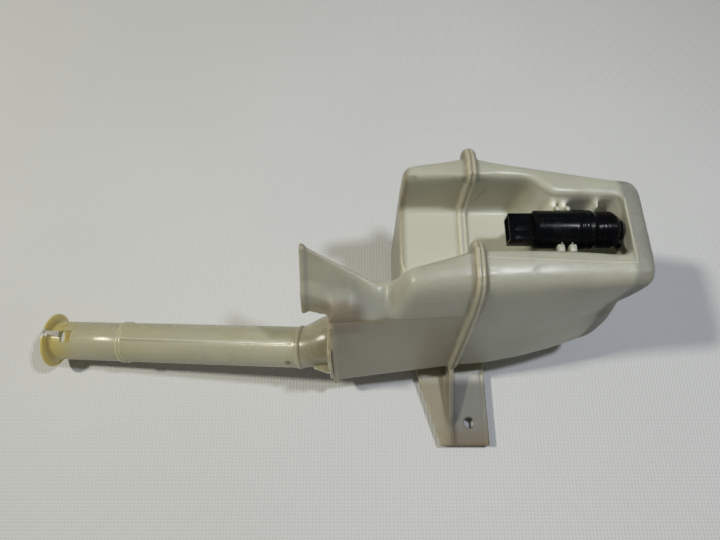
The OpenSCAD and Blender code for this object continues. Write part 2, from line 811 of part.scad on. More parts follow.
// Pump head: a cup with two bead rings, the impeller chamber, outlet nipple and inlet spigot
module pump_head() {
  bead_r = motor_r + 0.7;
  inlet_end = end_wall_x + wall + 5;
  color(black) on_pump_axis() difference() {
    union() {
      turned_x() polygon([
        [0, head_x - spigot_in], [motor_bore_r - fit_gap, head_x - spigot_in],
        [motor_bore_r - fit_gap, head_x],
        [bead_r, head_x], [bead_r, head_x + 2.2], [motor_r - 0.4, head_x + 3],
        [motor_r - 0.4, head_x + 4.2],
        [bead_r - 0.4, head_x + 5], [bead_r - 0.4, head_x + 7], [head_r - 0.8, head_x + 9],
        [head_r - 0.8, head_x + 11], [head_r, head_x + 12], [head_r, head_end - dome_l - 3],
        [head_r - 2, head_end - dome_l], [spigot_r + 4, head_end - dome_l], [spigot_r + 3.4, head_end - 1],
        [spigot_r + 2.4, head_end], [spigot_r, head_end], [spigot_r, inlet_end - 1],
        [spigot_r - 0.6, inlet_end], [0, inlet_end]]);
      outlet_rod(0, nipple_root, nipple_r + 1.2);
      outlet_rod(0, nipple_reach, nipple_r);
    }
    rod_x(head_x - spigot_in - cut_over, chamber_x, head_bore_r);
    rod_x(chamber_x - cut_over, chamber_end, chamber_r);
    rod_x(chamber_end - cut_over, inlet_end + cut_over, spigot_bore_r);
    outlet_rod(chamber_r - 2, nipple_reach + cut_over, nipple_bore_r);
    seal_groove();
  }
}

// A round bar along the outlet, between two distances from the pump's axis
module outlet_rod(from, to, r) {
  translate([chamber_end - nipple_r - 1.8, 0, 0]) rotate([90 - nipple_tilt, 0, 0])
    translate([0, 0, from]) cylinder(h = to - from, r = r);
}

module seal_groove() {
  tube_x(head_x - 4, head_x - 2, motor_bore_r + cut_over, motor_bore_r - 0.9);
}

module head_seal() {
  color(rubber) on_pump_axis()
    tube_x(head_x - 3.9, head_x - 2.1, motor_bore_r - fit_gap / 2, motor_bore_r - 0.85);
}

// Plate between the motor and the impeller chamber, with a pocket for the shaft seal
module seal_plate() {
  color([0.16, 0.16, 0.17]) on_pump_axis() difference() {
    rod_x(plate_x, chamber_x, head_bore_r - fit_gap / 2);
    rod_x(plate_x - cut_over, plate_x + 3, shaft_r + 2.6);
    rod_x(plate_x, chamber_x + cut_over, shaft_r + 0.4);
  }
}

module shaft_seal() {
  color(rubber) on_pump_axis()
    tube_x(plate_x, plate_x + 3 - fit_gap, shaft_r + 2.6 - fit_gap / 2, shaft_r + run_gap);
}

// Rubber grommet that seals the inlet spigot in the pocket's end wall
module inlet_grommet() {
  hole_r = inlet_hole_r;
  bore = spigot_r + fit_gap / 2;
  front = end_wall_x;
  back = end_wall_x + wall;
  slack = 0.45;
  color(rubber) on_pump_axis() turned_x() polygon([
    [bore, front + fit_gap - wall_gap], [hole_r + 1.6, front + fit_gap - wall_gap],
    [hole_r + 1.6, front - slack], [hole_r - fit_gap, front - slack],
    [hole_r - fit_gap, back + slack], [hole_r + 0.8, back + slack],
    [hole_r - 0.5, back + 2.6], [bore, back + 2.6]]);
}

// Slotted basket over the inlet, on the tank side of the grommet
module inlet_strainer() {
  root = end_wall_x + wall + 2.8;
  end = pump_half_l - wall - 3.5;
  basket_r = spigot_r + 1.6;
  ring_t = 1.6;
  slots = 8;
  color([0.85, 0.85, 0.8]) on_pump_axis() difference() {
    rod_x(root, end, basket_r);
    rod_x(root - cut_over, end - 1, spigot_r + fit_gap / 2);
    rod_x(root + ring_t, end - 1, basket_r - 1);
    for (i = [0:slots / 2 - 1]) rotate([360 * i / slots, 0, 0])
      translate([root + 2, -0.6, -2 * basket_r]) cube([end - root - 4, 1.2, 4 * basket_r]);
  }
}

// Drawn steel can of the motor, closed at the pump end round the front bush
module motor_can() {
  color([0.62, 0.62, 0.64]) on_pump_axis() {
    tube_x(holder_x + holder_t, can_end, can_r, can_r - can_wall);
    tube_x(can_end - 1.6, can_end, can_r - can_wall / 2, bush_r);
  }
}

module magnet_pair() {
  span = 130;
  thick = 2.4;
  color([0.22, 0.21, 0.21]) on_pump_axis()
    translate([core_x - 1.5, 0, 0]) rotate([0, 90, 0])
      for (side = [0, 180]) rotate([0, 0, side - span / 2])
        rotate_extrude(angle = span) translate([magnet_r - thick, 0]) square([thick, core_l + 3]);
}

// Plastic end plate that carries the rear bush and the brush arms
module brush_holder() {
  color([0.72, 0.70, 0.62]) on_pump_axis() difference() {
    rod_x(holder_x, holder_x + holder_t, can_r);
    rod_x(holder_x - cut_over, holder_x + holder_t + cut_over, bush_r);
  }
}

module bush(x0, x1) {
  color([0.66, 0.54, 0.34]) on_pump_axis() tube_x(x0, x1, bush_r - fit_gap / 10, shaft_r + run_gap);
}

module rear_bush() {
  bush(holder_x, holder_x + holder_t);
}

module front_bush() {
  bush(can_end - 3, can_end + 0.8);
}

// Carbon blocks that ride on the commutator
module brush_pair() {
  color([0.18, 0.18, 0.19]) on_pump_axis() for (side = [-1, 1])
    translate([comm_x + 1, side > 0 ? commutator_r + run_gap : -commutator_r - run_gap - brush_l, -1.5])
      cube([brush_w, brush_l, 3]);
}

// Spring strips from the end plate to the backs of the brushes
module brush_arms() {
  strip = 0.4;
  back = commutator_r + run_gap + brush_l;
  color([0.78, 0.60, 0.35]) on_pump_axis() for (side = [-1, 1])
    translate([holder_x + holder_t, side > 0 ? back : -back - strip, -1.2])
      cube([comm_x + 1 + brush_w - holder_x - holder_t, strip, 2.4]);
}

module motor_shaft() {
  color([0.75, 0.75, 0.77]) on_pump_axis() rod_x(holder_x + 0.4, chamber_end - 2.2, shaft_r);
}

// Cross section of the laminated core: a hub and poles with curved shoes
module core_section() {
  hub_r = shaft_r + 1.9;
  shoe = 1.6;
  difference() {
    union() {
      circle(r = hub_r);
      for (i = [0:pole_count - 1]) rotate(360 * i / pole_count) {
        translate([0, -1.4]) square([armature_r - shoe / 2, 2.8]);
        intersection() {
          difference() {
            circle(r = armature_r);
            circle(r = armature_r - shoe);
          }
          polygon([[0, 0], [2 * armature_r, -armature_r * 1.1], [2 * armature_r, armature_r * 1.1]]);
        }
      }
    }
    circle(r = shaft_r);
  }
}

module armature_core() {
  color([0.45, 0.45, 0.47]) on_pump_axis() translate([core_x, 0, 0]) rotate([0, 90, 0])
    linear_extrude(core_l) core_section();
}

// Copper coils: they fill the slots and overhang both ends of the core
module armature_winding() {
  outer_r = armature_r - 1.9;
  color([0.72, 0.40, 0.18]) on_pump_axis() difference() {
    rod_x(core_x - coil_l, core_x + core_l + coil_l, outer_r);
    rod_x(core_x - coil_l - cut_over, core_x + core_l + coil_l + cut_over, shaft_r + 1.9);
    translate([core_x, 0, 0]) rotate([0, 90, 0]) linear_extrude(core_l) core_section();
  }
}

module commutator() {
  bars = 2 * pole_count;
  color([0.74, 0.45, 0.24]) on_pump_axis() difference() {
    union() {
      rod_x(comm_x, comm_x + comm_l, commutator_r);
      rod_x(comm_x + comm_l - 1, core_x - coil_l, commutator_r + 0.5);
      rod_x(core_x - coil_l - 0.2, core_x, shaft_r + 1.9);
    }
    rod_x(comm_x - cut_over, core_x + cut_over, shaft_r);
    for (i = [0:bars - 1]) rotate([360 * i / bars, 0, 0])
      translate([comm_x - cut_over, -0.15, commutator_r - 0.5]) cube([comm_l + cut_over, 0.3, 2]);
  }
}

// Open impeller: straight vanes, set off the axis, on a thin back disc
module impeller() {
  disc_t = 1.2;
  root = chamber_x + 0.8;
  vane_h = chamber_end - 1.4 - root;
  vane_t = 1;
  hub_r = shaft_r + 1.6;
  color([0.8, 0.8, 0.76]) on_pump_axis() difference() {
    union() {
      rod_x(root, root + disc_t, impeller_r);
      rod_x(root, root + vane_h, hub_r);
      intersection() {
        rod_x(root + disc_t / 2, root + vane_h - 0.4, impeller_r - 0.3);
        for (i = [0:vane_count - 1]) rotate([360 * i / vane_count, 0, 0])
          translate([root, hub_r - vane_t - 0.4, 0]) cube([vane_h, vane_t, 2 * impeller_r]);
      }
    }
    rod_x(root - cut_over, chamber_end - 2.2 + fit_gap, shaft_r);
  }
}

placed() neck_half();
placed() pump_half();
placed() filler_neck();
placed() neck_seal();
placed() filler_mouth();
placed() motor_housing();
placed() pump_head();
placed() head_seal();
placed() seal_plate();
placed() shaft_seal();
placed() inlet_grommet();
placed() inlet_strainer();
placed() motor_can();
placed() magnet_pair();
placed() brush_holder();
placed() brush_pair();
placed() brush_arms();
placed() terminal_pins();
placed() rear_bush();
placed() front_bush();
placed() motor_shaft();
placed() armature_core();
placed() armature_winding();
placed() commutator();
placed() impeller();
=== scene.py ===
"""Washer fluid reservoir: the looks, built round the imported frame. Lengths are in metres."""

import math

import bpy
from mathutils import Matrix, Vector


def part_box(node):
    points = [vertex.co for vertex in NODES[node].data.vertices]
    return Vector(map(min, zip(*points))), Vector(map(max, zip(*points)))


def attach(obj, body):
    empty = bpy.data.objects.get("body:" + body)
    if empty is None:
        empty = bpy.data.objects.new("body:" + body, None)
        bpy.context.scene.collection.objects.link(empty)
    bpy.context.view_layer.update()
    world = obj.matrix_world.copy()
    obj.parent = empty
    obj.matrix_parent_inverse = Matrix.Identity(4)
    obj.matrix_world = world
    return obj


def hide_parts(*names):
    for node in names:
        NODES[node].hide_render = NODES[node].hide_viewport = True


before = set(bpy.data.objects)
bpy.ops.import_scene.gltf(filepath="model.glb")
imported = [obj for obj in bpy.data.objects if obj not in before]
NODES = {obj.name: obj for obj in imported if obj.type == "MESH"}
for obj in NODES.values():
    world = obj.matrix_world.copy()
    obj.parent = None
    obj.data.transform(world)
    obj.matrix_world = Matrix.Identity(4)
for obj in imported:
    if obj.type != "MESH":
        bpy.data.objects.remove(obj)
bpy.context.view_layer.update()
MM = 0.001

# Places on the part, in its own frame
WELD_X = -18.5 * MM
TABLE_Z = -10 * MM
PUMP_Z = 162 * MM
JOINT_X = -334 * MM
END_FLANGE_X = -129 * MM
CREASE_Z = 138.5 * MM
LIP_X = -408 * MM
NECK_MARK = (-171 * MM, 48 * MM, 58 * MM)
STREAK_X = -4 * MM
STREAK_Z = 148 * MM
STREAK_LEAN = 0.26

# Fine mould lines: where each one starts in x and y, and how far it drifts in y along x
RIM_LINE_X = 98.8 * MM
RIM_LINE_START = (-12 * MM, 102.7 * MM)
RIM_LINE_SLOPE = 0.026
NECK_LINE_START = (-171.3 * MM, 62.7 * MM)
NECK_LINE_SLOPE = 0.0674
LINE_HEIGHT = 0.6 * MM

# How far a half is let out past the weld while it is softened
WELD_REACH = 0.02 * MM
WELD_SPARE = 0.9 * MM

# How the moulded halves and the smaller pieces are softened
MERGE_REACH = 0.01 * MM
MOULDING_GRAIN = 1.3 * MM
FIRST_PASSES = 3
SOFT_PASSES = 100
FACES_KEPT = 0.5
MOULDING_ANGLE = math.radians(50)
EASED_ANGLE = math.radians(32)
BEVEL_ANGLE = math.radians(35)

# How far the low shoulder falls, as a share of its height above the crease
SHOULDER_FALL = 0.62

# How far the front ridge leans over the pocket beside the weld, and how much more at its far end, in mm
LEAN_START = 2.5
LEAN_GAIN = 4.0

# Ribs moulded round the pump head: how far past the motor housing, and how thick
HEAD_RING_STEPS = (13.4 * MM, 16.4 * MM, 19.4 * MM, 22.2 * MM)
HEAD_RING_R = 13.5 * MM
HEAD_RING_T = 0.8 * MM

# The tips of the front clip forks
CLIP_TIP_X = (45.6 * MM, 54.6 * MM)
CLIP_TIP_Y = 113.0 * MM
CLIP_TIP_Z = 167.6 * MM
CLIP_TIP_SIZE = (5.4 * MM, 6.4 * MM, 6.0 * MM)
CLIP_TIP_EDGE = 1.2 * MM

# The mouth's tongue: x, y, upper z and half width at each end, and its thickness
TONGUE_TIP = (-408.2 * MM, 80.2 * MM, 42.0 * MM, 0.9 * MM)
TONGUE_ROOT = (-394.4 * MM, 79.4 * MM, 38.8 * MM, 3.4 * MM)
TONGUE_T = 2.6 * MM
TONGUE_EDGE = 0.5 * MM

# Colours of the milky pieces: the body's two tones, then what lies on them and the painted light and
# shade
TANK_TONES = ((0.46, 0.46, 0.368), (0.395, 0.393, 0.31))
NECK_TONES = ((0.52, 0.505, 0.37), (0.46, 0.44, 0.30))
MOUTH_TONES = ((0.52, 0.50, 0.345), (0.46, 0.435, 0.28))
LOW_TONE = (0.30, 0.275, 0.215)
SCUFF_GREY = (0.27, 0.275, 0.28)
WELD_TAN = (0.45, 0.40, 0.265)
GRIME_AND_SHADE_BROWN = (0.165, 0.125, 0.065)
SPECK_BROWN = (0.085, 0.07, 0.045)
PALE_SCRATCH = (0.80, 0.80, 0.74)
DARK_SCRATCH = (0.17, 0.14, 0.09)
CHANNEL_CLEAN_AND_LIGHT = (0.68, 0.68, 0.545)
WALL_WARM = (0.42, 0.335, 0.22)
POCKET_PAINTED_LIGHT = (0.84, 0.82, 0.70)
DULL_AND_SHADE_GREY = (0.17, 0.17, 0.15)
STAIN_AND_SHADE_BROWN = (0.20, 0.155, 0.095)
UNDER_TAN = (0.385, 0.335, 0.225)
STREAK_BROWN = (0.15, 0.115, 0.07)
RUB_GREY = (0.15, 0.14, 0.13)
RUST = (0.26, 0.15, 0.075)
RIM_HIGHLIGHT = (0.66, 0.65, 0.53)
NECK_AGED = (0.52, 0.48, 0.27)
MARK_BROWN = (0.13, 0.11, 0.075)
ROOT_BROWN = (0.20, 0.16, 0.10)
PARTING_HIGHLIGHT = (0.78, 0.76, 0.62)
PARTING_SHADE = (0.25, 0.21, 0.13)
LIP_AMBER = (0.52, 0.42, 0.12)
TONGUE_GREY = (0.47, 0.47, 0.43)

# Colours of the pump's outside, the winding and the mat
PUMP_BLACK = (0.0022, 0.0026, 0.0034)
PUMP_DUST = (0.05, 0.045, 0.036)
PUMP_GROOVE = (0.03, 0.024, 0.015)
PUMP_SCRATCH = (0.07, 0.07, 0.07)
PUMP_SPECK = (0.40, 0.39, 0.36)
WIRE_TONES = ((0.30, 0.10, 0.035), (0.78, 0.36, 0.15))
MAT_TONES = ((0.665, 0.675, 0.665), (0.695, 0.705, 0.695))
MAT_THREAD = (0.5, 0.5, 0.5)

# How the grain of bare metal is drawn out: along the shaft, or round it
ALONG_SHAFT = (0.05, 1.0, 1.0)
ROUND_SHAFT = (1.0, 0.08, 0.08)

# The mat's size and the pitch of its weave
FLOOR_SIZE = 8
MAT_PITCH = 3.3 * MM

# The lamps: place, width, power and tint; and the room's light
LAMP_AIM = (-0.05, 0.08, 0.05)
LAMPS = {
    "right_lamp": ((0.285, 0.150, 0.99), 0.085, 4.2, (0.86, 0.90, 1.0)),
    "left_lamp": ((-1.524, 0.180, 1.99), 0.20, 29.5, (1.0, 0.967, 0.845)),
}
SKY_TINT = (1.0, 0.975, 0.93, 1.0)
SKY_STRENGTH = 0.11

# The photograph's viewpoint
CAMERA_PLACE = (-105.9 * MM, -44.05 * MM, 544.2 * MM)
CAMERA_TILT = math.radians(20.435)
LENS_MM = 27
SENSOR_MM = 36


class Value:
    """A socket that takes part in sums, adding its Math nodes as it goes."""

    def __init__(self, finish, socket):
        self.finish = finish
        self.socket = socket

    def math(self, operation, *others, clamp=False):
        settings = {"operation": operation, "use_clamp": clamp}
        return self.finish.node("ShaderNodeMath", settings, [self, *others])

    def __add__(self, other):
        return self.math("ADD", other)

    def __sub__(self, other):
        return self.math("SUBTRACT", other)

    def __mul__(self, other):
        return self.math("MULTIPLY", other)

    __radd__ = __add__

    def __rsub__(self, other):
        return self.finish.node("ShaderNodeMath", {"operation": "SUBTRACT"}, [other, self])

    def sine(self):
        return self.math("SINE")

    def size(self):
        return self.math("ABSOLUTE")

    def power(self, exponent):
        return self.math("POWER", exponent)

    def at_least(self, other):
        return self.math("MAXIMUM", other)

    def clamped(self):
        return self.math("ADD", 0.0, clamp=True)

    def ramp(self, low, high):
        """0 at low and 1 at high, eased between; low may be the greater of the two."""
        settings = {"interpolation_type": "SMOOTHSTEP"}
        if low < high:
            return self.finish.node("ShaderNodeMapRange", settings, [self, low, high, 0.0, 1.0])
        return self.finish.node("ShaderNodeMapRange", settings, [self, high, low, 1.0, 0.0])

    def within(self, low, high, edge):
        """1 between low and high, fading to 0 over the given edge outside them."""
        return self.ramp(low - edge, low) * self.ramp(high + edge, high)


class Finish:
    """One procedural material: a Principled surface and the nodes that feed it."""

    # Where a Mix node takes its factor and two colours, and gives their mix
    BLEND_SLOTS = (0, 6, 7)
    BLEND_RESULT = 2

    def __init__(self, name, **constants):
        self.material = bpy.data.materials.new(name)
        self.material.use_nodes = True
        self.nodes = self.material.node_tree.nodes
        self.links = self.material.node_tree.links
        self.surface = self.nodes["Principled BSDF"]
        for key, value in constants.items():
            self.socket(key).default_value = value
        coords = self.nodes.new("ShaderNodeTexCoord")
        self.place = Value(self, coords.outputs["Object"])
        self.x, self.y, self.z = self.split(self.place)

    def socket(self, name):
        return self.surface.inputs[name.replace("_", " ")]

    def node(self, kind, settings, values):
        """Adds a node and gives its first output. A value is linked if it is a Value, and set if not."""
        made = self.nodes.new(kind)
        for key, value in settings.items():
            setattr(made, key, value)
        pairs = values.items() if isinstance(values, dict) else enumerate(values)
        for key, value in pairs:
            if isinstance(value, Value):
                self.links.new(value.socket, made.inputs[key])
            else:
                made.inputs[key].default_value = value
        return Value(self, made.outputs[0])

    def split(self, vector):
        made = self.nodes.new("ShaderNodeSeparateXYZ")
        self.links.new(vector.socket, made.inputs[0])
        return [Value(self, made.outputs[i]) for i in range(3)]

    def stretched(self, scale, turn=(0.0, 0.0, 0.0)):
        """The place, turned and scaled, for marks that run one way."""
        values = {"Vector": self.place, "Scale": scale, "Rotation": turn}
        return self.node("ShaderNodeMapping", {}, values)

    def noise(self, scale, detail=4.0, rough=0.55, bend=0.0, vector=None):
        values = {"Vector": vector or self.place, "Scale": scale, "Detail": detail,
                  "Roughness": rough, "Distortion": bend}
        return self.node("ShaderNodeTexNoise", {}, values)

    def cells(self, scale):
        return self.node("ShaderNodeTexVoronoi", {}, {"Vector": self.place, "Scale": scale})

    def crevice(self, distance):
        """1 in corners and hollows, 0 on open faces."""
        made = self.nodes.new("ShaderNodeAmbientOcclusion")
        made.samples = 6
        made.inputs["Distance"].default_value = distance
        return 1.0 - Value(self, made.outputs["AO"])

    def blend(self, factor, first, second):
        """The first colour, with the second laid over it by the factor."""
        made = self.nodes.new("ShaderNodeMix")
        made.data_type = "RGBA"
        slots = [made.inputs[i] for i in self.BLEND_SLOTS]
        for socket, value in zip(slots, (factor, first, second)):
            if isinstance(value, Value):
                self.links.new(value.socket, socket)
            elif isinstance(value, tuple):
                socket.default_value = (*value, 1.0)
            else:
                socket.default_value = value
        return Value(self, made.outputs[self.BLEND_RESULT])

    def bump(self, height, strength, distance, below=None):
        """A normal for this height, over the normal below where there is one."""
        values = {"Height": height, "Strength": strength, "Distance": distance}
        if below:
            values["Normal"] = below
        return self.node("ShaderNodeBump", {}, values)

    def feed(self, **values):
        """Links the values to the surface, and gives the finished material."""
        for name, value in values.items():
            self.links.new(value.socket, self.socket(name))
        return self.material


def milky_plastic(name, tones, gloss, corner_grime_and_shade):
    """Aged translucent polymer: cloudy, scuffed, with brown dirt along the weld, and brown dirt and
    painted shade in corners.
    """
    f = Finish(name, IOR=1.5, Subsurface_Weight=0.8, Subsurface_Scale=0.010,
               Subsurface_Radius=(1.0, 0.95, 0.7))
    cloud = f.noise(11, 5, 0.6)
    patch = f.noise(38, 6, 0.65, 0.6)
    color = f.blend(cloud.ramp(0.3, 0.72), *tones)
    # Darker towards the table, grey scuffs on the high ridges
    low = f.z.ramp(0.10, 0.0) * (0.5 + patch * 0.6)
    color = f.blend((low * 0.34).clamped(), color, LOW_TONE)
    scuff = f.noise(85, 7, 0.7, 1.6, f.stretched((0.35, 1.0, 1.0))).ramp(0.50, 0.72)
    scuff = scuff * f.z.ramp(0.145, 0.17)
    color = f.blend(scuff * 0.4, color, SCUFF_GREY)
    # The weld: a paler bead with brown dirt at both of its roots and in its groove
    off = (f.x - WELD_X).size()
    bead = off.ramp(0.0042, 0.0030)
    color = f.blend(bead * 0.6, color, WELD_TAN)
    roots = off.ramp(0.0026, 0.0040) * off.ramp(0.0085, 0.0046) * patch.ramp(0.25, 0.6)
    groove = off.ramp(0.0009, 0.0003)
    # Brown dirt and painted shade in the corners, brown dirt in thin smears
    corner = f.crevice(0.016).ramp(0.32, 0.85)
    smear = f.noise(60, 6, 0.7, 1.0, f.stretched((1.0, 0.25, 1.0))).ramp(0.6, 0.78)
    grime_and_shade = (corner * corner_grime_and_shade + roots * 0.62 + groove * 0.4 + smear * 0.22).clamped()
    color = f.blend(grime_and_shade, color, GRIME_AND_SHADE_BROWN)
    # Specks of dirt, and a few pale and dark hair scratches
    speck = f.cells(420).ramp(0.10, 0.04) * f.noise(55, 3).ramp(0.56, 0.7)
    color = f.blend(speck * 0.75, color, SPECK_BROWN)
    along = f.stretched((0.04, 1.0, 0.6), (0.0, 0.0, 0.35))
    across = f.stretched((0.6, 0.05, 1.0), (0.0, 0.3, -0.5))
    pale = f.noise(520, 3, 0.6, 0.4, along).ramp(0.66, 0.74)
    dark = f.noise(360, 3, 0.6, 0.6, across).ramp(0.69, 0.76)
    color = f.blend(pale * 0.16, color, PALE_SCRATCH)
    color = f.blend(dark * 0.3, color, DARK_SCRATCH)
    rough = gloss + cloud * 0.14 + grime_and_shade * 0.3 + scuff * 0.16 + pale * 0.12
    normal = f.bump(f.noise(24, 3, 0.5), 0.2, 0.004)
    normal = f.bump(f.noise(900, 3, 0.5), 0.12, 0.0006, normal)
    normal = f.bump(pale - dark, 0.2, 0.0003, normal)
    return f, color, rough, normal, patch


def tank_finish():
    """The two halves: cleaner and paler in the channel and the pump pocket, partly as painted light;
    duller on the wing and the pump end; painted shade on the bracket, the slope beside the wing and the
    pump end's lobe.
    """
    f, color, rough, normal, patch = milky_plastic("milky_plastic", TANK_TONES, 0.27, 0.42)
    # Cleaner in the channel, with painted light there too; warm on its back wall; painted light in the
    # pump pocket, whose walls lie in shade
    channel = f.y.within(0.104, 0.178, 0.004) * f.z.within(0.118, 0.164, 0.004)
    channel = channel * f.x.within(-0.073, 0.097, 0.002)
    color = f.blend(channel * 0.55, color, CHANNEL_CLEAN_AND_LIGHT)
    back_wall = f.y.within(0.164, 0.176, 0.003) * f.z.within(0.130, 0.162, 0.006)
    color = f.blend(back_wall * f.x.ramp(0.055, 0.035) * 0.3, color, WALL_WARM)
    pocket = f.x.within(0.040, 0.098, 0.010) * f.y.ramp(0.138, 0.146) * f.z.within(0.120, 0.166, 0.004)
    color = f.blend(pocket * 0.75, color, POCKET_PAINTED_LIGHT)
    # Duller grey on the wing and the pump end; painted shade with dirt on the bracket; painted shade on
    # the slope beside the wing and on the pump end's lower lobe
    wing = f.x.ramp(-0.098, -0.112) * f.z.ramp(0.115, 0.125)
    bracket = f.y.ramp(0.046, 0.034) * f.z.ramp(0.030, 0.022)
    pump_end = f.x.ramp(0.094, 0.100) * (0.4 + patch)
    slope_shade = f.x.within(-0.106, -0.086, 0.008) * f.z.within(0.136, 0.150, 0.003) * f.y.ramp(0.092, 0.080)
    lobe_shade = f.x.ramp(0.080, 0.105) * f.z.ramp(0.168, 0.145)
    dull_and_shade = wing * (0.20 + patch * 0.35) + bracket * 0.84 + pump_end * 0.72 + slope_shade * 0.4 + lobe_shade * 0.2
    dull_and_shade = dull_and_shade.clamped()
    color = f.blend(dull_and_shade, color, DULL_AND_SHADE_GREY)
    # Brown marks: painted shade on the wing's front fold; stains on the back block's flank, the foot and
    # the collar; a brown line along the crease, and a tan tint on the face under it
    fold = f.x.ramp(-0.096, -0.112) * f.y.ramp(0.082, 0.074) * f.z.ramp(0.118, 0.124)
    flank = f.x.ramp(-0.0645, -0.070) * f.y.ramp(0.10, 0.12)
    foot = f.y.ramp(0.002, -0.018) * f.z.ramp(0.014, 0.008)
    collar = (f.x - END_FLANGE_X).size().ramp(0.006, 0.002) * f.y.ramp(0.062, 0.05)
    under = f.z.ramp(CREASE_Z + 0.001, CREASE_Z - 0.001) * f.y.ramp(0.080, 0.072)
    line = (f.z - CREASE_Z).size().ramp(0.0011, 0.0004) * f.y.ramp(0.080, 0.072)
    neck_side = f.x.ramp(WELD_X, WELD_X - 0.004)
    stain = fold * 0.68 + flank * 0.55 + foot * 0.8 + collar * 0.6 + line * neck_side * 0.55
    color = f.blend((stain * (0.45 + patch)).clamped(), color, STAIN_AND_SHADE_BROWN)
    color = f.blend(under * neck_side * (0.35 + patch * 0.5), color, UNDER_TAN)
    # Dark rubs along the back ridge and round the pump end
    streak = f.noise(70, 6, 0.7, 1.2, f.stretched((0.25, 1.0, 1.0))).ramp(0.5, 0.68) * pump_end
    color = f.blend((streak * 0.4).clamped(), color, STREAK_BROWN)
    rub = f.noise(45, 8, 0.75, 2.5, f.stretched((0.5, 1.0, 1.0))).ramp(0.60, 0.70)
    rub = rub * f.z.ramp(0.158, 0.168) * f.y.ramp(0.06, 0.09)
    color = f.blend(rub * 0.55, color, RUB_GREY)
    # A rusty run on the channel's back wall, beside the weld
    run = f.x - STREAK_X - (f.z - STREAK_Z) * STREAK_LEAN + patch * 0.004
    run = run.size().ramp(0.0020, 0.0002)
    run = run * f.z.within(STREAK_Z - 0.006, STREAK_Z + 0.003, 0.010) * back_wall
    color = f.blend(run * patch * 0.75, color, RUST)
    # A fine raised line of the mould runs along the rim of the pump pocket, painted pale as a highlight
    rim_x, rim_y = RIM_LINE_START
    front = (f.y - rim_y + (f.x - rim_x) * RIM_LINE_SLOPE).size().ramp(0.0009, 0.0003)
    front = front * f.x.within(rim_x, RIM_LINE_X, 0.001)
    end = (f.x - RIM_LINE_X).size().ramp(0.0009, 0.0003) * f.y.within(0.100, 0.154, 0.001)
    rim_line = front.at_least(end * 0.7) * f.z.ramp(0.160, 0.164)
    color = f.blend(rim_line * 0.6, color, RIM_HIGHLIGHT)
    normal = f.bump(rim_line, 0.8, LINE_HEIGHT, normal)
    return f.feed(Base_Color=color, Roughness=rough + dull_and_shade * 0.25, Normal=normal)


def neck_finish():
    """The neck: yellower, with a thin parting line of the mould along its top."""
    f, color, rough, normal, patch = milky_plastic("milky_neck", NECK_TONES, 0.2, 0.15)
    aged = f.x.ramp(-0.25, JOINT_X - 0.02) * (0.3 + patch * 0.5)
    color = f.blend(aged.clamped(), color, NECK_AGED)
    # A dark mark by the flare, and grime where the collar meets it
    mark_x, mark_y, mark_z = NECK_MARK
    far = (f.x - mark_x).power(2.0) + (f.y - mark_y).power(2.0) + (f.z - mark_z).power(2.0)
    far = far.power(0.5)
    color = f.blend(far.ramp(0.0034, 0.0020) * 0.8, color, MARK_BROWN)
    root = f.x.ramp(-0.172, -0.138) * patch.ramp(0.25, 0.65)
    color = f.blend(root * 0.55, color, ROOT_BROWN)
    # The raised parting line, painted pale as a highlight, with a patchy dark strip on its near side
    start_x, start_y = NECK_LINE_START
    off_line = f.y - start_y + (f.x - start_x) * NECK_LINE_SLOPE
    parting = off_line.size().ramp(0.0008, 0.0003) * f.x.ramp(start_x + 0.004, start_x)
    beside = off_line.within(-0.0022, -0.0008, 0.0006) * f.x.ramp(start_x + 0.004, start_x)
    color = f.blend(parting * 0.7, color, PARTING_HIGHLIGHT)
    color = f.blend(beside * (0.15 + patch * 0.5), color, PARTING_SHADE)
    normal = f.bump(parting, 0.8, LINE_HEIGHT, normal)
    return f.feed(Base_Color=color, Roughness=rough, Normal=normal)


def mouth_finish():
    """The mouth sleeve: milky where it meets the neck, amber with age at the lip."""
    f, color, rough, normal, patch = milky_plastic("yellowed_plastic", MOUTH_TONES, 0.2, 0.2)
    aged = f.x.ramp(LIP_X + 0.034, LIP_X + 0.006) * (0.6 + patch * 0.4)
    color = f.blend(aged.clamped(), color, LIP_AMBER)
    # The tongue on top of it stayed greyer
    tongue = f.y.within(0.0762, 0.0836, 0.0002) * f.z.ramp(0.0374, 0.0378) * f.x.ramp(-0.3925, -0.3935)
    color = f.blend(tongue * 0.85, color, TONGUE_GREY)
    return f.feed(Base_Color=color, Roughness=rough, Normal=normal)


def black_plastic():
    """Satin black polymer with brown dust in its grooves, pale specks and rubbed edges."""
    f = Finish("black_plastic", IOR=1.46, Specular_IOR_Level=0.12)
    dust = f.noise(90, 6, 0.7, 0.5).ramp(0.48, 0.78)
    upward = f.z.ramp(PUMP_Z - 0.002, PUMP_Z + 0.016)
    color = f.blend(dust * upward * 0.12, PUMP_BLACK, PUMP_DUST)
    corner = f.crevice(0.003).ramp(0.35, 0.85)
    color = f.blend(corner * 0.3, color, PUMP_GROOVE)
    scratch = f.noise(700, 3, 0.6, 0.3, f.stretched((0.06, 1.0, 1.0))).ramp(0.66, 0.74)
    color = f.blend(scratch * 0.14, color, PUMP_SCRATCH)
    speck = f.cells(700).ramp(0.12, 0.06) * f.noise(130, 3).ramp(0.54, 0.66)
    color = f.blend(speck * 0.85, color, PUMP_SPECK)
    rough = 0.2 + dust * 0.2 + corner * 0.2
    normal = f.bump(f.noise(1400, 2), 0.12, 0.0003)
    normal = f.bump(scratch, 0.1, 0.0002, normal)
    return f.feed(Base_Color=color, Roughness=rough, Normal=normal)


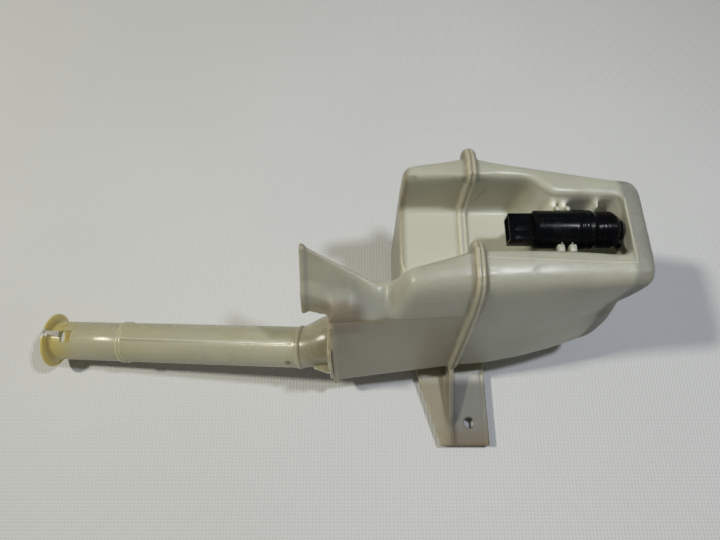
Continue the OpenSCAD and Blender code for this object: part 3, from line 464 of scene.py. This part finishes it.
def plain_plastic(name, color_low, color_high, rough_low, grain_scale):
    """An inner piece's polymer, rubber or carbon: cloudy, with a fine grain."""
    f = Finish(name, IOR=1.48)
    cloud = f.noise(120, 5, 0.6)
    color = f.blend(cloud.ramp(0.3, 0.7), color_low, color_high)
    normal = f.bump(f.noise(grain_scale, 3), 0.2, 0.0003)
    return f.feed(Base_Color=color, Roughness=rough_low + cloud * 0.2, Normal=normal)


def bare_metal(name, color_low, color_high, rough_low, grain):
    """Metal with fine marks that are drawn out one way."""
    f = Finish(name, Metallic=1.0)
    stain = f.noise(160, 5, 0.65)
    mark = f.noise(1500, 3, 0.6, 0.0, f.stretched(grain))
    color = f.blend(stain.ramp(0.3, 0.75), color_low, color_high)
    color = f.blend(mark.ramp(0.55, 0.8) * 0.3, color, tuple(c * 0.55 for c in color_low))
    rough = rough_low + stain * 0.18 + mark * 0.12
    return f.feed(Base_Color=color, Roughness=rough, Normal=f.bump(mark, 0.2, 0.0002))


def wound_wire():
    """Enamelled copper: strands lie side by side round the coil."""
    f = Finish("copper_wire", Metallic=0.85)
    values = {"Vector": f.place, "Scale": 900.0, "Distortion": 1.5}
    strand = f.node("ShaderNodeTexWave", {"bands_direction": "X"}, values)
    color = f.blend(strand, *WIRE_TONES)
    return f.feed(Base_Color=color, Roughness=0.3 + strand * 0.15, Normal=f.bump(strand, 0.5, 0.0003))


def studio_floor():
    """A pale mat with a fine woven grain."""
    f = Finish("pale_floor", Specular_IOR_Level=0.2)
    soft = f.noise(3, 3, 0.5)
    turns = 2 * math.pi / MAT_PITCH
    weave = ((f.x * turns).sine() + (f.y * turns).sine()) * 0.25 + 0.5
    color = f.blend(soft.ramp(0.3, 0.7), *MAT_TONES)
    color = f.blend(weave * 0.12, color, MAT_THREAD)
    return f.feed(Base_Color=color, Roughness=0.6 + soft * 0.1, Normal=f.bump(weave, 0.5, 0.0008))


def fade(value, low, high):
    """0 at low and 1 at high, straight between; low may be the greater of the two."""
    return min(max((value - low) / (high - low), 0), 1)


def softness(x, y, z):
    """1 on the big rounded ridges and the shoulder, 0 at thin walls, fittings and the weld."""
    shoulder = fade(x, -0.108, -0.095) * fade(z, 0.105, 0.125) * fade(y, 0.120, 0.112)
    back = fade(y, 0.150, 0.160) * fade(z, 0.140, 0.155) * 0.85
    fold = fade(abs(x - END_FLANGE_X), 0.008, 0.005) * fade(abs(y - 0.081), 0.016, 0.011)
    fold = fold * fade(z, 0.128, 0.136)
    soft = max(shoulder, back, fold) * fade(abs(x - WELD_X), 0.010, 0.020)
    return soft * fade(x, 0.100, 0.085)


def shoulder_drop(x, y, z):
    """How far the low shoulder's front falls away towards the crease, beside the wing's root."""
    along = fade(x, -0.114, -0.102) * fade(x, -0.074, -0.086)
    return max(z - CREASE_Z, 0) * SHOULDER_FALL * along * fade(y, 0.094, 0.068) * fade(z, 0.160, 0.152)


def ridge_lean(x, y, z):
    """How far the front ridge's top leans over the pump pocket."""
    reach = LEAN_START + LEAN_GAIN * fade(x, -0.010, 0.070)
    along = fade(x, -0.010, 0.0) * fade(x, 0.108, 0.101) * reach * MM
    return along * fade(z, 0.150, 0.163) * fade(y, 0.094, 0.100) * fade(y, 0.116, 0.106)


def only(piece):
    """Leaves one piece selected and active."""
    bpy.ops.object.select_all(action="DESELECT")
    piece.select_set(True)
    bpy.context.view_layer.objects.active = piece


def copy_of(node, name):
    """A merged copy of a CAD node's mesh, to be finished as a piece of its own."""
    piece = NODES[node].copy()
    piece.data = NODES[node].data.copy()
    piece.name = name
    piece.data.name = name
    for key in [k for k in piece.keys() if k.startswith("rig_")]:
        del piece[key]
    piece.parent = None
    bpy.context.scene.collection.objects.link(piece)
    piece.data.materials.clear()
    only(piece)
    bpy.ops.object.mode_set(mode="EDIT")
    bpy.ops.mesh.select_all(action="SELECT")
    bpy.ops.mesh.remove_doubles(threshold=MERGE_REACH)
    bpy.ops.mesh.customdata_custom_splitnormals_clear()
    bpy.ops.object.mode_set(mode="OBJECT")
    return piece


def apply(piece, kind, **settings):
    """Adds a modifier with these settings and applies it."""
    only(piece)
    made = piece.modifiers.new(kind.lower(), kind)
    for key, value in settings.items():
        setattr(made, key, value)
    bpy.ops.object.modifier_apply(modifier=made.name)


def stands_for(piece, node, material):
    """Gives a piece its material, and puts it on the tank in place of its CAD node."""
    piece.data.materials.append(material)
    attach(piece, "tank")
    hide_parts(node)


def soft_moulding(node, side, material):
    """A moulded half with rounded edges. It is let out past the weld, softened, and cut back there."""
    piece = copy_of(node, node + "_moulding")
    for vertex in piece.data.vertices:
        if abs(vertex.co.x - WELD_X) < WELD_REACH:
            vertex.co.x -= side * WELD_SPARE
    apply(piece, "REMESH", mode="VOXEL", voxel_size=MOULDING_GRAIN, use_smooth_shade=True)
    apply(piece, "SMOOTH", factor=0.5, iterations=FIRST_PASSES)
    for vertex in piece.data.vertices:
        vertex.co.z -= shoulder_drop(*vertex.co)
        vertex.co.y += ridge_lean(*vertex.co)
    soft = piece.vertex_groups.new(name="soft")
    for vertex in piece.data.vertices:
        soft.add([vertex.index], softness(*vertex.co), "REPLACE")
    apply(piece, "SMOOTH", factor=0.5, iterations=SOFT_PASSES, vertex_group="soft")
    only(piece)
    bpy.ops.object.mode_set(mode="EDIT")
    bpy.ops.mesh.select_all(action="SELECT")
    bpy.ops.mesh.bisect(plane_co=(WELD_X, 0, 0), plane_no=(side, 0, 0), use_fill=True, clear_inner=True)
    bpy.ops.object.mode_set(mode="OBJECT")
    apply(piece, "DECIMATE", ratio=FACES_KEPT)
    only(piece)
    bpy.ops.object.shade_smooth_by_angle(angle=MOULDING_ANGLE)
    stands_for(piece, node, material)
    return piece


def eased_piece(node, edge, material):
    """A turned or boxed piece with small rounded edges."""
    piece = copy_of(node, node + "_eased")
    apply(piece, "BEVEL", width=edge, segments=2, limit_method="ANGLE", angle_limit=BEVEL_ANGLE)
    only(piece)
    bpy.ops.object.shade_smooth_by_angle(angle=EASED_ANGLE)
    stands_for(piece, node, material)
    return piece


def join_to(piece, extra):
    """Makes the extra shape part of the piece, in the piece's material."""
    extra.data.materials.append(piece.data.materials[0])
    only(piece)
    extra.select_set(True)
    bpy.ops.object.join()


def add_head_rings(head):
    """Moulded ribs round the pump head, joined to it."""
    head_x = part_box("motor_housing")[1][0]
    low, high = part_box("motor_shaft")
    for step in HEAD_RING_STEPS:
        middle = (head_x + step, (low[1] + high[1]) / 2, (low[2] + high[2]) / 2)
        bpy.ops.object.select_all(action="DESELECT")
        bpy.ops.mesh.primitive_torus_add(
            major_radius=HEAD_RING_R, minor_radius=HEAD_RING_T, major_segments=72, minor_segments=10,
            location=middle, rotation=(0, math.pi / 2, 0))
        bpy.ops.object.transform_apply(location=True, rotation=True, scale=True)
        bpy.ops.object.shade_smooth()
        join_to(head, bpy.context.object)


def add_clip_tips(half):
    """Thick moulded tips on the front clip forks, beside the motor."""
    for x in CLIP_TIP_X:
        bpy.ops.object.select_all(action="DESELECT")
        bpy.ops.mesh.primitive_cube_add(size=1, location=(x, CLIP_TIP_Y, CLIP_TIP_Z))
        tip = bpy.context.object
        tip.scale = CLIP_TIP_SIZE
        bpy.ops.object.transform_apply(location=True, rotation=True, scale=True)
        apply(tip, "BEVEL", width=CLIP_TIP_EDGE, segments=3)
        only(tip)
        bpy.ops.object.shade_smooth()
        join_to(half, tip)


def add_tongue(mouth):
    """A tapered tongue on top of the mouth sleeve, from the notch in the lip to the window."""
    bpy.ops.object.select_all(action="DESELECT")
    bpy.ops.mesh.primitive_cube_add(size=2)
    tongue = bpy.context.object
    for vertex in tongue.data.vertices:
        place = vertex.co.copy()
        x, y, top, half = TONGUE_ROOT if place.x > 0 else TONGUE_TIP
        vertex.co = (x, y + place.y * half, top if place.z > 0 else top - TONGUE_T)
    apply(tongue, "BEVEL", width=TONGUE_EDGE, segments=3)
    only(tongue)
    bpy.ops.object.shade_smooth()
    join_to(mouth, tongue)


def dress(node, material):
    """Gives a CAD node's own mesh its material."""
    mesh = NODES[node].data
    mesh.materials.clear()
    mesh.materials.append(material)


def add_floor():
    """The pale mat that the part lies on."""
    bpy.ops.object.select_all(action="DESELECT")
    bpy.ops.mesh.primitive_plane_add(size=FLOOR_SIZE, location=(0, 0, TABLE_Z))
    floor = bpy.context.object
    floor.name = "floor"
    floor.data.materials.append(studio_floor())


def add_light(name, place, size, power, tint):
    """A round soft lamp, turned towards the part."""
    data = bpy.data.lights.new(name, "AREA")
    data.shape = "DISK"
    data.size = size
    data.energy = power
    data.color = tint
    lamp = bpy.data.objects.new(name, data)
    bpy.context.scene.collection.objects.link(lamp)
    lamp.location = place
    way = [a - p for a, p in zip(LAMP_AIM, place)]
    tilt = math.pi / 2 + math.atan2(way[2], math.hypot(way[0], way[1]))
    lamp.rotation_euler = (tilt, 0, math.atan2(way[1], way[0]) - math.pi / 2)


def add_camera():
    """The photograph's view."""
    data = bpy.data.cameras.new("view")
    data.lens = LENS_MM
    data.sensor_width = SENSOR_MM
    camera = bpy.data.objects.new("view", data)
    bpy.context.scene.collection.objects.link(camera)
    camera.location = CAMERA_PLACE
    camera.rotation_euler = (CAMERA_TILT, 0, 0)
    bpy.context.scene.camera = camera


def add_daylight():
    """The room's weak light from all round."""
    world = bpy.data.worlds.new("room")
    bpy.context.scene.world = world
    world.use_nodes = True
    sky = world.node_tree.nodes["Background"]
    sky.inputs["Color"].default_value = SKY_TINT
    sky.inputs["Strength"].default_value = SKY_STRENGTH


# Finishes
tank_plastic = tank_finish()
pump_black = black_plastic()
natural = plain_plastic("natural_plastic", (0.60, 0.57, 0.47), (0.68, 0.65, 0.56), 0.42, 900)
dark = plain_plastic("dark_plastic", (0.02, 0.02, 0.022), (0.035, 0.034, 0.034), 0.4, 1100)
seal = plain_plastic("seal_rubber", (0.012, 0.012, 0.012), (0.03, 0.029, 0.027), 0.62, 1600)
carbon = plain_plastic("carbon", (0.02, 0.02, 0.021), (0.05, 0.05, 0.05), 0.5, 2200)
ferrite = plain_plastic("ferrite", (0.035, 0.034, 0.034), (0.06, 0.058, 0.055), 0.55, 1500)
can_steel = bare_metal("can_steel", (0.50, 0.50, 0.52), (0.62, 0.62, 0.62), 0.3, ALONG_SHAFT)
shaft_steel = bare_metal("shaft_steel", (0.58, 0.58, 0.60), (0.70, 0.70, 0.71), 0.16, ROUND_SHAFT)
core_steel = bare_metal("core_steel", (0.26, 0.26, 0.28), (0.40, 0.40, 0.41), 0.36, ROUND_SHAFT)
brass = bare_metal("spring_brass", (0.70, 0.50, 0.22), (0.80, 0.62, 0.34), 0.25, ALONG_SHAFT)
bronze = bare_metal("bearing_bronze", (0.42, 0.26, 0.12), (0.58, 0.40, 0.20), 0.42, ROUND_SHAFT)
copper = bare_metal("copper_bars", (0.66, 0.31, 0.16), (0.78, 0.44, 0.27), 0.26, ROUND_SHAFT)

# The visible pieces
soft_moulding("neck_half", -1, tank_plastic)
add_clip_tips(soft_moulding("pump_half", 1, tank_plastic))
eased_piece("filler_neck", 0.5 * MM, neck_finish())
add_tongue(eased_piece("filler_mouth", 0.4 * MM, mouth_finish()))
eased_piece("motor_housing", 0.3 * MM, pump_black)
add_head_rings(eased_piece("pump_head", 0.25 * MM, pump_black))

# The pieces inside keep their own shapes
INNER = {
    "neck_seal": seal, "head_seal": seal, "shaft_seal": seal, "inlet_grommet": seal,
    "seal_plate": dark, "inlet_strainer": natural, "brush_holder": natural, "impeller": natural,
    "motor_can": can_steel, "magnet_pair": ferrite, "brush_pair": carbon, "brush_arms": brass,
    "terminal_pins": brass, "rear_bush": bronze, "front_bush": bronze, "motor_shaft": shaft_steel,
    "armature_core": core_steel, "armature_winding": wound_wire(), "commutator": copper,
}
for inner_node, inner_finish in INNER.items():
    dress(inner_node, inner_finish)

# The mat, the light and the view
add_floor()
for lamp_name, lamp_facts in LAMPS.items():
    add_light(lamp_name, *lamp_facts)
add_daylight()
add_camera()

bpy.context.scene.view_settings.view_transform = "Standard"
